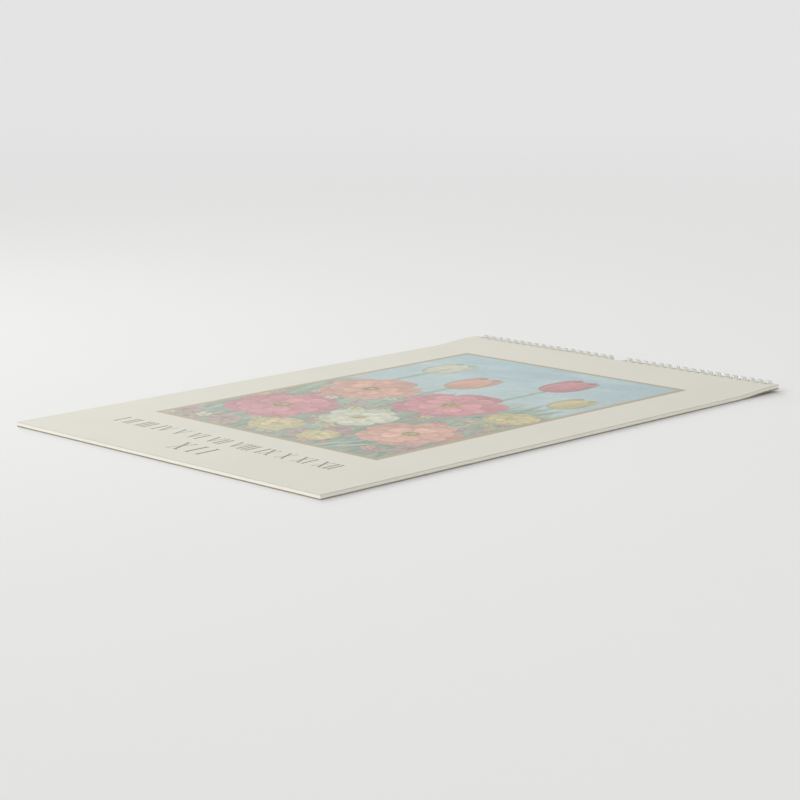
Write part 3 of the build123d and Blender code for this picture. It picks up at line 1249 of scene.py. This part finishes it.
class CALENDAR_OT_stage(bpy.types.Operator):
    """Lay the floor, hang the lamps and place the camera at the photograph's angle"""

    bl_idname = "calendar.stage"
    bl_label = "Stage"

    # The camera: its lens in the photograph's pixels, its angles, and what it looks at beside the middle
    focal_px = 2324.0
    frame_px = 800.0
    sensor = 36.0
    sight = 50.0
    pitch = radians(11.419)
    roll = radians(-0.101)
    azimuth = radians(44.605)
    distance = 1.839
    target = Vector((-29.76 * MM, 17.65 * MM, 0.0))

    # The floor, and how far out it is painted paler, as painted light that is brighter far back
    floor_reach = 14.0
    floor_sides = 96
    cloud_size = 0.9
    painted_light_from = 0.8
    painted_light_to = 3.0

    # Where each lamp shines from, and how wide it is
    key_from = (-0.3, -0.8, 0.5)
    key_spread = radians(50)
    back_from = (-0.8, 0.42, 0.3)
    back_spread = radians(30)
    fill_from = (0.82, -0.54, 0.2)
    fill_spread = radians(40)
    side_place = (-0.8, -0.45, 0.75)
    side_size = 1.0

    def execute(self, context):
        stage = context.scene.calendar_stage
        self.floor(stage)
        self.surround(context.scene, stage)
        self.lamps(stage)
        self.camera(context.scene)
        return {"FINISHED"}

    def floor(self, stage):
        """One pale floor that runs back out of view, painted paler far away as painted light."""
        shader = Surface("pale_floor", Roughness=0.9, Specular_IOR_Level=0.0)
        cloud = shader.noise(self.cloud_size)
        reach = shader.add("ShaderNodeVectorMath", {"operation": "LENGTH"}, {0: shader.place()}, "Value")
        away = shader.add(
            "ShaderNodeMapRange", {"interpolation_type": "SMOOTHSTEP"},
            {"Value": reach, "From Min": self.painted_light_from, "From Max": self.painted_light_to},
        )
        near = shader.tones(stage.floor_colour, 0.99, 1.01, cloud)
        # Painted light: the floor turns to the paler far tone with distance from the calendar
        shader.finish(Base_Color=shader.blend(near, opaque(stage.far_painted_light), away))
        bpy.ops.mesh.primitive_circle_add(
            vertices=self.floor_sides, radius=self.floor_reach, fill_type="NGON"
        )
        floor = bpy.context.object
        floor.name = "floor"
        floor.data.materials.append(shader.material)

    def surround(self, scene, stage):
        """Even light from all round, seen beyond the floor as the far floor's painted paler tone."""
        world = bpy.data.worlds.new("surround")
        world.use_nodes = True
        shader = Shader(world.node_tree)
        even = shader.add("ShaderNodeBackground", {}, {"Color": WHITE, "Strength": stage.surround})
        seen = shader.add("ShaderNodeBackground", {}, {"Color": opaque(stage.far_painted_light)})
        camera_ray = shader.add("ShaderNodeLightPath", output="Is Camera Ray")
        glossy_ray = shader.add("ShaderNodeLightPath", output="Is Glossy Ray")
        either = camera_ray.math("MAXIMUM", glossy_ray)
        mix = shader.add("ShaderNodeMixShader", {}, {0: either, 1: even, 2: seen})
        shader.feed(world.node_tree.nodes["World Output"].inputs["Surface"], mix)
        scene.world = world

    def lamps(self, stage):
        """A broad lamp over the foot, low ones behind and on the right, and a soft near one on the left."""
        self.lamp("key_lamp", "SUN", stage.key_strength, self.key_from, angle=self.key_spread)
        self.lamp("back_lamp", "SUN", stage.back_strength, self.back_from, angle=self.back_spread)
        self.lamp("fill_lamp", "SUN", stage.fill_strength, self.fill_from, angle=self.fill_spread)
        self.lamp("side_lamp", "AREA", stage.side_power, self.side_place, shape="DISK", size=self.side_size)

    def lamp(self, name, kind, strength, place, **settings):
        """A lamp that shines from its place towards the calendar."""
        data = bpy.data.lights.new(name, kind)
        data.energy = strength
        for setting, value in settings.items():
            setattr(data, setting, value)
        lamp = link(name, data)
        lamp.location = place
        lamp.rotation_euler = Vector(place).to_track_quat("Z", "Y").to_euler()

    def camera(self, scene):
        middle = Vector((0, (COVER_LOW.y + COVER_HIGH.y) / 2, 0))
        back = Vector((
            sin(self.azimuth) * cos(self.pitch), -cos(self.azimuth) * cos(self.pitch), sin(self.pitch)
        ))
        right = (-back).cross(Vector((0, 0, 1))).normalized()
        up = right.cross(-back)
        turned_right = right * cos(self.roll) + up * sin(self.roll)
        turned_up = up * cos(self.roll) - right * sin(self.roll)
        data = bpy.data.cameras.new("camera")
        data.sensor_width = self.sensor
        data.lens = self.focal_px / self.frame_px * self.sensor
        data.clip_end = self.sight
        camera = link("camera", data)
        axes = Matrix((turned_right, turned_up, back)).transposed().to_4x4()
        camera.matrix_world = Matrix.Translation(middle + self.target + back * self.distance) @ axes
        scene.camera = camera
        scene.view_settings.view_transform = "Standard"


OPERATORS = (
    CALENDAR_OT_sheets,
    CALENDAR_OT_wire,
    CALENDAR_OT_hanger,
    CALENDAR_OT_cover_print,
    CALENDAR_OT_first_page,
    CALENDAR_OT_stage,
)


class CALENDAR_PT_panel(bpy.types.Panel):
    """Lists the calendar's pieces and their sizes"""

    bl_idname = "CALENDAR_PT_panel"
    bl_label = "Wall Calendar"
    bl_space_type = "VIEW_3D"
    bl_region_type = "UI"
    bl_category = "Calendar"

    def draw(self, context):
        for operator in OPERATORS:
            self.layout.operator(operator.bl_idname)
        for name, group in GROUPS.items():
            box = self.layout.box()
            for value in group.__annotations__:
                box.prop(getattr(context.scene, name), value)


CLASSES = tuple(GROUPS.values()) + OPERATORS + (CALENDAR_PT_panel,)


def register():
    for cls in CLASSES:
        bpy.utils.register_class(cls)
    for name, group in GROUPS.items():
        setattr(bpy.types.Scene, name, PointerProperty(type=group))


def unregister():
    for name in GROUPS:
        delattr(bpy.types.Scene, name)
    for cls in reversed(CLASSES):
        bpy.utils.unregister_class(cls)


def main():
    register()
    bpy.ops.calendar.sheets()
    bpy.ops.calendar.wire()
    bpy.ops.calendar.hanger()
    bpy.ops.calendar.cover_print()
    bpy.ops.calendar.first_page()
    bpy.ops.calendar.stage()


if __name__ == "__main__":
    main()
